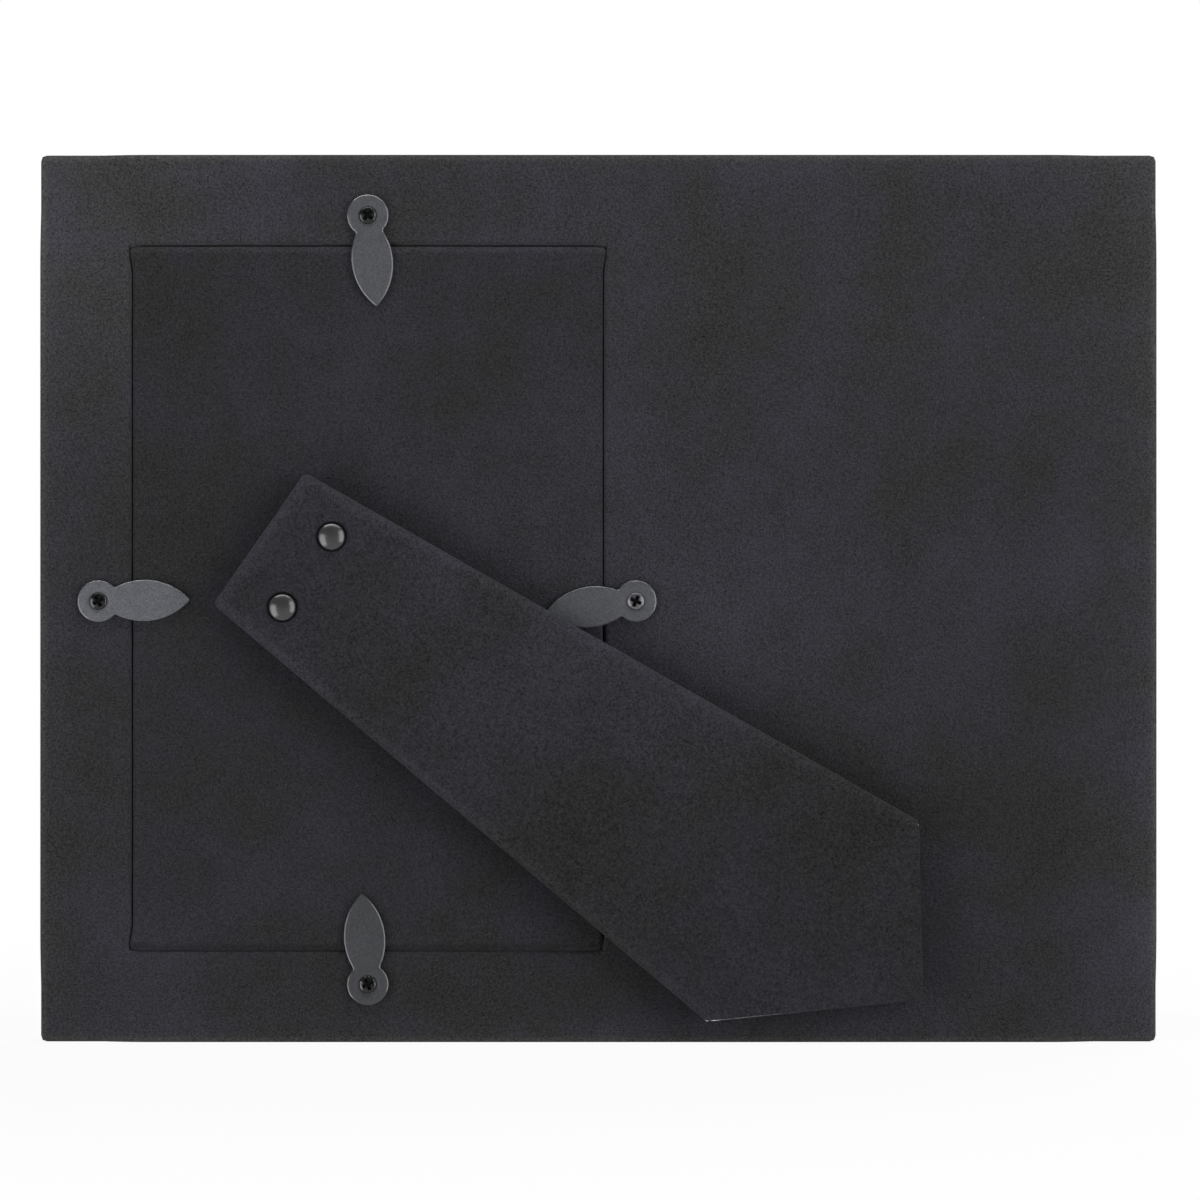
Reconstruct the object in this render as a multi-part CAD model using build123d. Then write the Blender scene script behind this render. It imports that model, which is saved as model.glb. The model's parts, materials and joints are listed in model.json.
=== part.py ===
from build123d import *
import os
from math import cos, radians, sin

# An easel back photo frame: one upright photo under glass beside a blank panel, a lift-out door
# that four turn buttons hold, and a slanted easel leg on a butt hinge hidden under its top end.
# Lengths are millimetres and angles are degrees.
#
# Each piece is drawn with the frame lying face down: X to the right, Y up the frame and Z out of
# its back, with Z zero on the velvet of the back. stand_up then turns it upright, with +Z up,
# the back facing -Y and the origin at the middle of the bottom edge.

# Photo, and what lies with it behind the window
photo_width = 101.6
photo_height = 152.4
photo_thickness = 0.3
photo_clearance = 0.9
window_lap = 3.2
glass_thickness = 2.0
glass_clearance = 0.3
card_thickness = 2.0
card_clearance = 0.3

# Boards and their covers
side_border = 20.3
end_border = 20.0
blank_panel_width = 122.5
front_board_thickness = 9.0
back_board_thickness = 2.5
cover_thickness = 0.8
velvet_thickness = 0.7
corner_radius = 0.8
front_edge_radius = 1.2
back_edge_bevel = 0.55
window_edge_radius = 0.6
opening_edge_bevel = 0.25
corner_notch_length = 6.0
corner_notch_width = 0.55

# Lift-out door
door_seat_side = 0.35
door_seat_end = 0.95
door_gap = 0.35
door_edge_bevel = 0.3

# Turn buttons: a round head on the pivot and a leaf-shaped blade, and how each one was left standing
button_head_radius = 4.6
button_reach = 20.3
button_blade_width = 9.15
button_thickness = 0.9
button_lift = 0.1
button_neck_radius = 0.7
button_tip_radius = 0.35
button_dish_radius = 2.5
button_dish_depth = 0.25
top_button_setback = 6.5
right_button_setback = 7.0
bottom_button_setback = 7.1
left_button_setback = 7.3
side_button_drop = 0.6
top_button_tilt = 5.6
right_button_tilt = 7.5
bottom_button_tilt = 3.9
left_button_tilt = 0.9

# Screws that the turn buttons pivot on
screw_radius = 1.0
screw_clearance = 0.06
screw_head_radius = 1.95
screw_head_height = 0.95
screw_head_taper = 0.45
screw_head_lift = 0.05
screw_bite = 4.5
screw_point = 1.6
screw_hole_spare = 0.4
cross_span = 2.7
cross_width = 0.85
cross_depth = 0.6
cross_draft = 8.0

# Easel leg
leg_angle = 34.9
leg_open_angle = 35.0
leg_stop_clearance = 0.25
leg_hinge_width = 36.25
leg_flare = 5.33
leg_point_height = 9.9
leg_point_offset = 0.4
leg_foot_side_angle = 91.3
leg_foot_bottom_angle = 185.8
leg_board_thickness = 2.5
leg_lining_thickness = 0.4
leg_corner_radius = 0.9
leg_edge_bevel = 0.35

# Hinge under the leg, set off from the middle of the door
hinge_left = 20.6
hinge_rise = 11.0
hinge_sheet = 0.6
leaf_edge_margin = 3.5
leaf_corner_radius = 2.0
middle_knuckle_length = 10.0
knuckle_gap = 0.2
knuckle_notch_gap = 0.35
knuckle_face_gap = 0.15
pin_radius = 0.6
pin_clearance = 0.05
pin_head_radius = 0.95
pin_head_length = 0.4

# Rivets of the leg and of the hinge
rivet_clearance = 0.05
leg_rivet_spacing = 19.0
leg_rivet_setback = 9.0
leg_rivet_radius = 1.4
leg_rivet_head_radius = 3.0
leg_rivet_head_height = 1.5
leg_rivet_head_rim = 0.8
leg_rivet_tail_radius = 2.1
leg_rivet_tail_height = 0.7
hinge_rivet_spacing = 9.0
hinge_rivet_setback = 13.0
hinge_rivet_radius = 1.2
hinge_rivet_head_radius = 2.2
hinge_rivet_head_height = 0.6
hinge_rivet_tail_radius = 2.0
hinge_rivet_tail_height = 0.5

# How far a cut runs past the face that it opens
overrun = 1.0

# Sizes that follow from those above
rabbet_width = photo_width + 2 * photo_clearance
rabbet_height = photo_height + 2 * photo_clearance
window_width = photo_width - 2 * window_lap
window_height = photo_height - 2 * window_lap
door_width = rabbet_width + 2 * door_seat_side
door_height = rabbet_height + 2 * door_seat_end
opening_width = door_width + 2 * door_gap
opening_height = door_height + 2 * door_gap
frame_width = side_border + opening_width + blank_panel_width
frame_height = opening_height + 2 * end_border
door_x = side_border + opening_width / 2 - frame_width / 2
door_y = frame_height / 2

# Heights out of the back: negative is inside the frame
back_board_high = -velvet_thickness
front_board_high = back_board_high - back_board_thickness
card_low = front_board_high - card_thickness
photo_low = card_low - photo_thickness
glass_low = photo_low - glass_thickness
front_board_low = front_board_high - front_board_thickness
front_low = front_board_low - cover_thickness
body_thickness = -front_low
button_high = button_lift + button_thickness
screw_head_low = button_high - button_dish_depth + screw_head_lift
screw_low = front_board_high - screw_bite

# Hinge and leg heights: the leg lies on the upper leaf, and its top end meets the door when open
knuckle_radius = pin_radius + pin_clearance + hinge_sheet
hinge_height = knuckle_radius + knuckle_face_gap
leg_low = 2 * hinge_height
leg_board_low = leg_low + leg_lining_thickness
leg_board_high = leg_board_low + leg_board_thickness
leg_high = leg_board_high + velvet_thickness
leg_swing_drop = hinge_height + hinge_height * cos(radians(leg_open_angle))
leg_overhang = (leg_swing_drop - leg_stop_clearance) / sin(radians(leg_open_angle))
leg_point_drop = door_y + hinge_rise - leg_point_height + leg_point_offset * cos(radians(leg_angle))
leg_reach = leg_point_drop / sin(radians(leg_angle))
hinge_width = leg_rivet_spacing + 2 * leaf_edge_margin
leaf_length = hinge_rivet_setback + leaf_edge_margin

# Where the hinge lies, with X down the leg, and where each turn button points from its pivot
easel_place = Pos(door_x - hinge_left, door_y + hinge_rise) * Rot(Z=-leg_angle)
opening_top = door_y + opening_height / 2
opening_bottom = door_y - opening_height / 2
opening_left = door_x - opening_width / 2
opening_right = door_x + opening_width / 2
button_places = {
    "top": Pos(door_x, opening_top + top_button_setback) * Rot(Z=-90 + top_button_tilt),
    "right": Pos(opening_right + right_button_setback, door_y - side_button_drop)
    * Rot(Z=180 + right_button_tilt),
    "bottom": Pos(door_x, opening_bottom - bottom_button_setback) * Rot(Z=90 + bottom_button_tilt),
    "left": Pos(opening_left - left_button_setback, door_y - side_button_drop) * Rot(Z=left_button_tilt),
}


def slab(outline, low, high):
    """A flat outline raised from one height to another."""
    return extrude(Pos(0, 0, low) * outline, amount=high - low, dir=(0, 0, 1))


def rod(radius, low, high):
    """A round bar that stands upright."""
    return slab(Circle(radius), low, high)


def barrel(radius, start, end):
    """A round bar on the hinge line, from one place along it to another."""
    return Pos(0, start, hinge_height) * Rot(X=-90) * rod(radius, 0, end - start)


def turned(profile):
    """A profile of radius and height spun into a round piece."""
    return revolve(Plane.XZ * profile, Axis.Z)


def top_face(part):
    return part.faces().sort_by(Axis.Z)[-1]


def bottom_face(part):
    return part.faces().sort_by(Axis.Z)[0]


def upright_edges(part):
    return part.edges().filter_by(Axis.Z)


def frame_block(inset, low, high):
    """A block as wide and as high as the frame, drawn in all round."""
    outline = Rectangle(frame_width - 2 * inset, frame_height - 2 * inset)
    return slab(Pos(0, frame_height / 2) * outline, low, high)


def door_block(width, height, low, high):
    """A block centred on the door."""
    return slab(Pos(door_x, door_y) * Rectangle(width, height), low, high)


def rounded_frame_block(low, high):
    block = frame_block(0, low, high)
    return block.fillet(corner_radius, upright_edges(block))


def at_pivots(shape):
    """A copy of a shape on each turn button's pivot."""
    return [place * shape for place in button_places.values()]


def at_leg_rivets(shape):
    """A copy of a shape on each rivet of the leg, in the leg's own place."""
    return [Pos(leg_rivet_setback, side * leg_rivet_spacing / 2) * shape for side in (-1, 1)]


def at_hinge_rivets(shape):
    """A copy of a shape on each rivet that holds the hinge to the door."""
    return [Pos(hinge_rivet_setback, side * hinge_rivet_spacing / 2) * shape for side in (-1, 1)]


def on_easel(shapes):
    """Shapes drawn from the hinge, moved to where the hinge lies on the door."""
    return [easel_place * shape for shape in shapes]


def screw_hole():
    return rod(screw_radius + screw_clearance, screw_low - screw_hole_spare, overrun)


def front_board():
    board = frame_block(cover_thickness, front_board_low, front_board_high)
    recess = door_block(rabbet_width, rabbet_height, glass_low, front_board_high + overrun)
    return board - window_cut(cover_thickness) - recess - at_pivots(screw_hole())


def window_cut(margin):
    """The window through the front, with room for what lines it."""
    width = window_width + 2 * margin
    height = window_height + 2 * margin
    return door_block(width, height, front_low - overrun, front_board_high + overrun)


def front_cover():
    """The smooth cover: front face, outer edges and the turned-in sides of the window."""
    cover = rounded_frame_block(front_low, front_board_high)
    cover = cover.fillet(front_edge_radius, bottom_face(cover).edges())
    cover -= window_cut(0)
    window_edges = bottom_face(cover).inner_wires()[0].edges()
    cover = cover.fillet(window_edge_radius, window_edges)
    board = frame_block(cover_thickness, front_board_low, front_board_high + overrun)
    recess = door_block(rabbet_width, rabbet_height, glass_low, front_board_high + overrun)
    return cover - (board - window_cut(cover_thickness)) - recess


def glass_pane():
    width = rabbet_width - 2 * glass_clearance
    height = rabbet_height - 2 * glass_clearance
    return door_block(width, height, glass_low, photo_low)


def photo_insert():
    return door_block(photo_width, photo_height, photo_low, card_low)


def backing_card():
    width = rabbet_width - 2 * card_clearance
    height = rabbet_height - 2 * card_clearance
    return door_block(width, height, card_low, front_board_high)


def opening_cut(margin):
    """The door opening through the back, with room for the velvet that lines it."""
    width = opening_width + 2 * margin
    height = opening_height + 2 * margin
    return door_block(width, height, front_board_high - overrun, overrun)


def back_board():
    board = frame_block(velvet_thickness, front_board_high, back_board_high)
    return board - opening_cut(velvet_thickness) - at_pivots(screw_hole())


def corner_notches():
    """Wedges at the corners of the opening, where the turned-in velvet is snipped."""
    wedge = Polygon((0, 0), (corner_notch_width, 0), (0, corner_notch_length))
    right_wedge = slab(wedge, front_board_high - overrun, overrun)
    left_wedge = mirror(right_wedge, Plane.YZ)
    notches = []
    for x, upward in ((opening_right, right_wedge), (opening_left, left_wedge)):
        notches.append(Pos(x, opening_bottom) * upward)
        notches.append(Pos(x, opening_top) * mirror(upward, Plane.XZ))
    return notches


def back_velvet():
    """The velvet of the back: its face, the wrapped outer edges and the lining of the opening."""
    velvet = rounded_frame_block(front_board_high, 0)
    velvet = velvet.chamfer(back_edge_bevel, None, top_face(velvet).edges())
    velvet -= opening_cut(0)
    velvet = velvet.chamfer(opening_edge_bevel, None, top_face(velvet).inner_wires()[0].edges())
    board = frame_block(velvet_thickness, front_board_high - overrun, back_board_high)
    board -= opening_cut(velvet_thickness)
    return velvet - board - corner_notches() - at_pivots(screw_hole())


def hinge_rivet_hole():
    """The hole through the door, wider inside where the rivet's tail lies flush."""
    hole = rod(hinge_rivet_radius + rivet_clearance, front_board_high - overrun, overrun)
    tail_high = front_board_high + hinge_rivet_tail_height + rivet_clearance
    tail_radius = hinge_rivet_tail_radius + rivet_clearance
    return hole + rod(tail_radius, front_board_high - overrun, tail_high)


def door_core(low):
    """The door inside its velvet."""
    width = door_width - 2 * velvet_thickness
    height = door_height - 2 * velvet_thickness
    return door_block(width, height, low, back_board_high)


def door_board():
    return door_core(front_board_high) - on_easel(at_hinge_rivets(hinge_rivet_hole()))


def door_velvet():
    velvet = door_block(door_width, door_height, front_board_high, 0)
    velvet = velvet.chamfer(door_edge_bevel, None, top_face(velvet).edges())
    core = door_core(front_board_high - overrun)
    return velvet - core - on_easel(at_hinge_rivets(hinge_rivet_hole()))


def turn_button():
    """A pressed plate: a round head, with a dish round its hole, and a leaf that ends in a point."""
    crown = button_blade_width / 2
    lower_arc = ThreePointArc((0, 0), (button_reach / 2, -crown), (button_reach, 0))
    upper_arc = ThreePointArc((button_reach, 0), (button_reach / 2, crown), (0, 0))
    outline = Circle(button_head_radius) + make_face(lower_arc + upper_arc)
    tip = outline.vertices().sort_by(Axis.X)[-1:]
    outline = fillet(tip, button_tip_radius)
    necks = [v for v in outline.vertices() if v.X < button_reach / 2]
    outline = fillet(necks, button_neck_radius)
    plate = slab(outline, button_lift, button_high)
    dish_low = button_high - button_dish_depth
    dish_floor_radius = button_dish_radius - button_dish_depth
    dish = turned(
        Polygon(
            (0, dish_low),
            (dish_floor_radius, dish_low),
            (button_dish_radius, button_high),
            (button_dish_radius, button_high + overrun),
            (0, button_high + overrun),
        )
    )
    return plate - dish - rod(screw_radius + screw_clearance, 0, button_high)


def turn_button_screw():
    """A cross-head screw with a tapered head and a point, without its thread."""
    head_high = screw_head_low + screw_head_height
    screw = turned(
        Polygon(
            (0, screw_low),
            (screw_radius, screw_low + screw_point),
            (screw_radius, screw_head_low),
            (screw_head_radius, screw_head_low),
            (screw_head_radius - screw_head_taper, head_high),
            (0, head_high),
        )
    )
    cross = Rectangle(cross_span, cross_width) + Rectangle(cross_width, cross_span)
    return screw - extrude(Pos(0, 0, head_high) * cross, amount=-cross_depth, taper=cross_draft)


def leg_outline(inset):
    """The leg drawn along X from the hinge, drawn in along its wrapped edges but not at its foot."""
    half_width = leg_hinge_width / 2 - inset / cos(radians(leg_flare))
    upper = Vector(0, half_width)
    lower = Vector(0, -half_width)
    top_end = Vector(inset - leg_overhang, 0)
    point = Vector(leg_reach, leg_point_offset)
    return Polygon(
        crossing(upper, leg_flare, top_end, 90),
        crossing(lower, -leg_flare, top_end, 90),
        crossing(lower, -leg_flare, point, leg_foot_bottom_angle + leg_angle),
        point,
        crossing(upper, leg_flare, point, leg_foot_side_angle + leg_angle),
    )


def crossing(point, angle, other_point, other_angle):
    """Where two lines meet, each given by a point on it and the angle that it runs at."""
    ahead = Vector(cos(radians(angle)), sin(radians(angle)))
    across = Vector(cos(radians(other_angle)), sin(radians(other_angle)))
    distance = (other_point - point).cross(across).Z / ahead.cross(across).Z
    return point + ahead * distance


def leg_rivet_holes():
    return at_leg_rivets(rod(leg_rivet_radius + rivet_clearance, 0, leg_high + overrun))


def leg_board():
    return slab(leg_outline(velvet_thickness), leg_board_low, leg_board_high) - leg_rivet_holes()


def leg_lining():
    return slab(leg_outline(velvet_thickness), leg_low, leg_board_low) - leg_rivet_holes()


def leg_velvet():
    """The velvet of the leg: its face, its wrapped long edges and its wrapped top end."""
    outline = leg_outline(0)
    outline = fillet(outline.vertices(), leg_corner_radius)
    velvet = slab(outline, leg_low, leg_high)
    velvet = velvet.chamfer(leg_edge_bevel, None, top_face(velvet).edges())
    core = slab(leg_outline(velvet_thickness), leg_low - overrun, leg_board_high)
    return velvet - core - leg_rivet_holes()


def leg_rivet():
    """A domed rivet through the leg, spread under the hinge's upper leaf."""
    tail_high = leg_low - hinge_sheet
    tail_low = tail_high - leg_rivet_tail_height
    head_top = leg_high + leg_rivet_head_height
    rim_high = leg_high + leg_rivet_head_rim
    sides = Polyline(
        (0, head_top),
        (0, tail_low),
        (leg_rivet_tail_radius, tail_low),
        (leg_rivet_tail_radius, tail_high),
        (leg_rivet_radius, tail_high),
        (leg_rivet_radius, leg_high),
        (leg_rivet_head_radius, leg_high),
        (leg_rivet_head_radius, rim_high),
    )
    dome = TangentArc((0, head_top), (leg_rivet_head_radius, rim_high), tangent=(1, 0))
    return turned(make_face(sides + dome))


def hinge_leaf(low, knuckles):
    """A leaf of bent sheet: a plate, rolled round the pin at its own knuckles and cut away at the others."""
    plate = slab(Pos(leaf_length / 2, 0) * Rectangle(leaf_length, hinge_width), low, low + hinge_sheet)
    plate = plate.fillet(leaf_corner_radius, upright_edges(plate).sort_by(Axis.X)[-2:])
    notch_length = knuckle_radius + knuckle_notch_gap
    notch = Pos(notch_length / 2, 0) * Rectangle(notch_length, hinge_width)
    kept = Sketch()
    for start, end in knuckles:
        kept += Pos(notch_length / 2, (start + end) / 2) * Rectangle(notch_length, end - start)
    leaf = plate - slab(notch - kept, low, low + hinge_sheet)
    for start, end in knuckles:
        leaf += barrel(knuckle_radius, start, end)
    return leaf - barrel(pin_radius + pin_clearance, -hinge_width / 2, hinge_width / 2)


def hinge_leg_leaf():
    half_middle = middle_knuckle_length / 2
    leaf = hinge_leaf(leg_low - hinge_sheet, [(-half_middle, half_middle)])
    return leaf - leg_rivet_holes()


def hinge_door_leaf():
    inner_end = middle_knuckle_length / 2 + knuckle_gap
    outer_end = hinge_width / 2
    leaf = hinge_leaf(0, [(-outer_end, -inner_end), (inner_end, outer_end)])
    return leaf - at_hinge_rivets(rod(hinge_rivet_radius + rivet_clearance, 0, hinge_sheet))


def hinge_pin():
    """The pin, with its ends spread over the outer knuckles."""
    outer_end = hinge_width / 2 + pin_clearance
    pin = barrel(pin_radius, -outer_end, outer_end)
    pin += barrel(pin_head_radius, outer_end, outer_end + pin_head_length)
    return pin + barrel(pin_head_radius, -outer_end - pin_head_length, -outer_end)


def hinge_rivet():
    """A flat-headed rivet through the hinge's lower leaf and the door, with its tail flush inside."""
    head_high = hinge_sheet + hinge_rivet_head_height
    tail_high = front_board_high + hinge_rivet_tail_height
    return turned(
        Polygon(
            (0, front_board_high),
            (hinge_rivet_tail_radius, front_board_high),
            (hinge_rivet_tail_radius, tail_high),
            (hinge_rivet_radius, tail_high),
            (hinge_rivet_radius, hinge_sheet),
            (hinge_rivet_head_radius, hinge_sheet),
            (hinge_rivet_head_radius, head_high),
            (0, head_high),
        )
    )


def stand_up(shapes):
    """The pieces of one node turned upright, onto the middle of the bottom edge."""
    upright = Plane(origin=(0, -body_thickness / 2, 0), x_dir=(1, 0, 0), z_dir=(0, -1, 0))
    return Compound([upright.location * solid for shape in shapes for solid in shape.solids()])


def pieces():
    """Each node's name with the pieces in it."""
    nodes = {
        "front_board": [front_board()],
        "front_cover": [front_cover()],
        "glass_pane": [glass_pane()],
        "photo_insert": [photo_insert()],
        "backing_card": [backing_card()],
        "back_board": [back_board()],
        "back_velvet": [back_velvet()],
        "door_board": [door_board()],
        "door_velvet": [door_velvet()],
        "hinge_door_leaf": on_easel([hinge_door_leaf()]),
        "hinge_pin": on_easel([hinge_pin()]),
        "hinge_rivets": on_easel(at_hinge_rivets(hinge_rivet())),
        "hinge_leg_leaf": on_easel([hinge_leg_leaf()]),
        "leg_board": on_easel([leg_board()]),
        "leg_lining": on_easel([leg_lining()]),
        "leg_velvet": on_easel([leg_velvet()]),
        "leg_rivets": on_easel(at_leg_rivets(leg_rivet())),
        "turn_button_screws": at_pivots(turn_button_screw()),
    }
    for side, place in button_places.items():
        nodes["turn_button_" + side] = [place * turn_button()]
    return nodes


def main():
    os.makedirs("parts", exist_ok=True)
    for name, shapes in pieces().items():
        export_step(stand_up(shapes), os.path.join("parts", name + ".step"))


if __name__ == "__main__":
    main()
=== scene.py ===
import json
from math import atan2, cos, pi, radians, sin, sqrt

import bmesh
import bpy
from mathutils import Matrix, Vector, noise


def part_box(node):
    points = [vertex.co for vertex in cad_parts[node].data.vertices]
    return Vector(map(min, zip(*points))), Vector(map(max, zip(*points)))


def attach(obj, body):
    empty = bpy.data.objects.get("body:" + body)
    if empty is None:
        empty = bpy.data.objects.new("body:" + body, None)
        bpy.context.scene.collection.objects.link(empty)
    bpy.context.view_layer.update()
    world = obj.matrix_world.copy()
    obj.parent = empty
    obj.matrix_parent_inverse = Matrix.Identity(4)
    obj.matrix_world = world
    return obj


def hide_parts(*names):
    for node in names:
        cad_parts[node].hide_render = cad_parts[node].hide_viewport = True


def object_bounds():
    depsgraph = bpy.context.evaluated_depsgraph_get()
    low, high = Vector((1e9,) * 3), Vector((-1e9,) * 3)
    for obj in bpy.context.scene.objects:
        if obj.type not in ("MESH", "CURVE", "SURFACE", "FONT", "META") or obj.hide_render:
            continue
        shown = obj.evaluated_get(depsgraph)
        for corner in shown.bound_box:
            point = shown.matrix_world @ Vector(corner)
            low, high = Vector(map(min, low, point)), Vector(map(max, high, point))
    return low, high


# An easel back photo frame, dressed: velour on its back, its door and its leg, a leatherette front,
# leaf-shaped turn buttons on cross-head screws, capped rivets and a steel hinge.
# Lengths are metres. Sheets, buttons, screws and rivets are modelled on a bench, face up, with X
# along the piece, Y across it and Z out of its face, and a placing matrix carries each one to its seat.

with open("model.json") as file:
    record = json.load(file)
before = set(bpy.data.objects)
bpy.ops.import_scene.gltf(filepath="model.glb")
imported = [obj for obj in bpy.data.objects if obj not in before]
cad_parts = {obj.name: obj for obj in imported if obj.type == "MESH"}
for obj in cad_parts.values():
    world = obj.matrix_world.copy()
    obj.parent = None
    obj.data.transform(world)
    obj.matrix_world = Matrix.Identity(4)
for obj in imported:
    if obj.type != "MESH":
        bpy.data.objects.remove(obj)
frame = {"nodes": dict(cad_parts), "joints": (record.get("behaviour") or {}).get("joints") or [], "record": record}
cad_low, cad_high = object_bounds()
joints = {joint["name"]: joint for joint in frame["joints"]}
mm = 0.001

# Velour, and how softly it turns over each edge
velour_thickness = 0.65 * mm
velour_spacing = 1.5 * mm
outer_roll = 0.8 * mm
opening_roll = 0.95 * mm
door_roll = 1.0 * mm
leg_roll = 1.0 * mm
roll_steps = 5
straight_steps = 3
end_spacing = 0.35 * mm
end_lines = 3
clear_of_kept = 0.6 * velour_spacing
mitre_limit = 0.3
eased_turn = radians(8)
eased_share = 0.5
leg_corner_passes = 4
outer_corner_passes = 1
door_corner_passes = 3
relief_depth = 0.09 * mm
relief_length = 22 * mm
fine_relief_depth = 0.03 * mm
fine_relief_length = 6 * mm
edge_wave = 0.09 * mm
edge_wave_length = 11 * mm
cloth_merge = 0.001 * mm

# Opening of the back: the velour is snipped and drawn aside at its corners, and its pile closes the gap
opening_gap = 0.35 * mm
pile_in_gap = 0.12 * mm
snip_length = 6.5 * mm
snip_width = 0.95 * mm
corner_close = 0.55 * mm
corner_close_length = 3.2 * mm
bottom_close = 0.24 * mm

# Outer edge of the back, drawn in towards its corners, with a painted sheen along its rim
corner_draw = 0.45 * mm
corner_draw_length = 24 * mm
back_rim_width = 1.9 * mm
back_rim_sheen = 0.65

# Painted light on the back over an even paler tone: paler towards its top, its sides and its edges, most of all at
# its top corners
back_pale_level = 0.12
painted_light_top = 0.26
painted_light_corner = 0.6
painted_light_rise = (90 * mm, 190 * mm)
painted_light_centre = 15 * mm
painted_light_aside = (72 * mm, 138 * mm)
painted_light_left = 0.14
painted_light_right = 0.46
painted_light_edge = 0.18
painted_light_edge_width = 9 * mm

# The pile of the door: a little pale, with a painted highlight along its top edge and painted shade along its
# bottom edge
door_pale = 0.1
door_top_painted_highlight = 0.32
door_bottom_painted_shade = 0.28
door_edge_width = 0.9 * mm

# A painted pool of light across the back and the leg
light_pool_centre = (16 * mm, 0, 98 * mm)
light_pool_reach = (95 * mm, 1000 * mm, 55 * mm)
light_pool_strength = 0.24

# Easel leg, from its hinge, with the velour cut off at its foot
leg_slant = radians(34.9)
leg_overhang = 4.0 * mm
leg_hinge_width = 36.25 * mm
leg_flare = radians(5.33)
leg_reach = 174.48 * mm
leg_point_offset = 0.4 * mm
leg_foot_side_angle = radians(126.2)
leg_foot_bottom_angle = radians(220.7)
leg_point_share = 0.55
leg_depth = 3.6 * mm
leg_cut_roll = 0.25 * mm
leg_cut_depth = 0.6 * mm
leg_overhang_cut = 0.1 * mm
# Painted sheen along the leg's edges, strong at its top and weak at its foot
leg_rim_width = 2.2 * mm
leg_rim_sheen = 0.32
leg_foot_rim_sheen = 0.12
# The raw cut at the leg's foot, pale from its lower corner
pale_spot_length = 3.2 * mm
pale_line_length = 45 * mm
pale_line_share = 0.22
pale_from = leg_cut_roll / 8

# The velour of the leg round its rivets, with painted shade in a ring at each cap and a painted highlight just
# outside it
leg_rivet_setback = 9.0 * mm
leg_rivet_spacing = 19.0 * mm
rivet_dimple_depth = 0.5 * mm
rivet_dimple_inner = 3.0 * mm
rivet_dimple_outer = 4.3 * mm
rivet_dimple_cuts = 7
rivet_ring_width = 0.5 * mm
rivet_ring_painted_shade = 0.85
rivet_halo_reach = 1.3 * mm
rivet_halo_painted_light = 0.3

# Leatherette front
leatherette_thickness = 0.75 * mm
leatherette_roll = 1.2 * mm
window_roll = 0.8 * mm
window_lining_depth = 5.4 * mm
window_spare = 0.2 * mm

# Metal fittings on the bench: how finely they are drawn, and which edges stay sharp
bench_merge = 0.002 * mm
sharp_angle = radians(32)
crown_steps = 14
shoulder_steps = 9
upright_slope = 0.5

# Turn buttons: their outline, their stamped edge as steps in and up, their dish and hole, and the angle
# of each one and how much lighter or darker its enamel is made, which paints the light that falls on it
button_head_radius = 4.6 * mm
button_reach = 20.3 * mm
button_blade_width = 9.15 * mm
button_thickness = 0.9 * mm
button_neck_round = 0.7 * mm
button_tip_round = 0.35 * mm
button_blade_steps = 46
button_tip_steps = 8
button_neck_steps = 7
button_head_steps = 64
button_edge = (
    (0.03 * mm, 0.09 * mm),
    (0.15 * mm, 0.107 * mm),
    (0.12 * mm, 0.0625 * mm),
    (0.02 * mm, 0.003 * mm),
)
button_edge_slopes = (0.3, 0.95)
button_dish_radius = 2.6 * mm
button_dish_depth = 0.3 * mm
button_dish_segments = 64
button_dish_rings = 160
button_hole_radius = 1.06 * mm
button_hole_steps = 32
button_angles = {"top": -84.4, "right": 187.5, "bottom": 93.9, "left": 0.9}
button_painted_light = {"top": 1.31, "right": 1.37, "bottom": 0.74, "left": 2.02}

# Screws, and how far each one is turned
screw_steps = 64
screw_head_radius = 1.95 * mm
screw_head_low = 0.65 * mm
screw_head_height = 0.95 * mm
screw_crown_radius = 4.3 * mm
screw_shoulder_radius = 0.5 * mm
screw_shank_radius = 1.0 * mm
screw_shank_length = 7.5 * mm
cross_span = 3.2 * mm
cross_width = 1.0 * mm
cross_depth = 0.8 * mm
cross_taper = 0.7
cross_floor_height = 0.9 * cross_depth
screw_turns = {"top": 44, "right": 58, "bottom": 20, "left": 27}

# Rivets of the leg
rivet_steps = 72
rivet_radius = 3.0 * mm
rivet_height = 1.4 * mm
rivet_crown_radius = 4.6 * mm
rivet_shoulder_radius = 0.7 * mm
rivet_skirt = 0.3 * mm
rivet_shank_radius = 1.4 * mm
rivet_tail_radius = 2.1 * mm
rivet_tail_height = 0.7 * mm
rivet_length = 3.9 * mm

# The view: straight at the back
view_width = 266.0 * mm
view_distance = 1.4
view_right = 0.36 * mm
view_drop = 0.34 * mm
sensor_width = 36.0

# Lamps: where each one stands, its width and height, and how bright its face is
lamps = {
    "left lamp": ((-0.62, -0.42, -0.12), 0.44, 0.8, 3.45),
    "right lamp": ((0.84, -0.59, 0.16), 0.56, 1.15, 3.5),
    "top lamp": ((0, -0.17, 0.6), 0.9, 0.05, 13.0),
    "front lamp": ((0.35, 0.85, 0.75), 0.6, 0.6, 7.0),
}

# Floor and surround
floor_size = 12.0
floor_tone = (0.9, 0.9, 0.9, 1)
floor_white = 0.92
floor_fade_start = 0.16
floor_fade_end = 0.5
ambient_level = 0.125
room_dark = 0.15
room_light = 0.7
room_dark_from = 0.3
room_light_from = -0.5
white = (1, 1, 1, 1)


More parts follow.
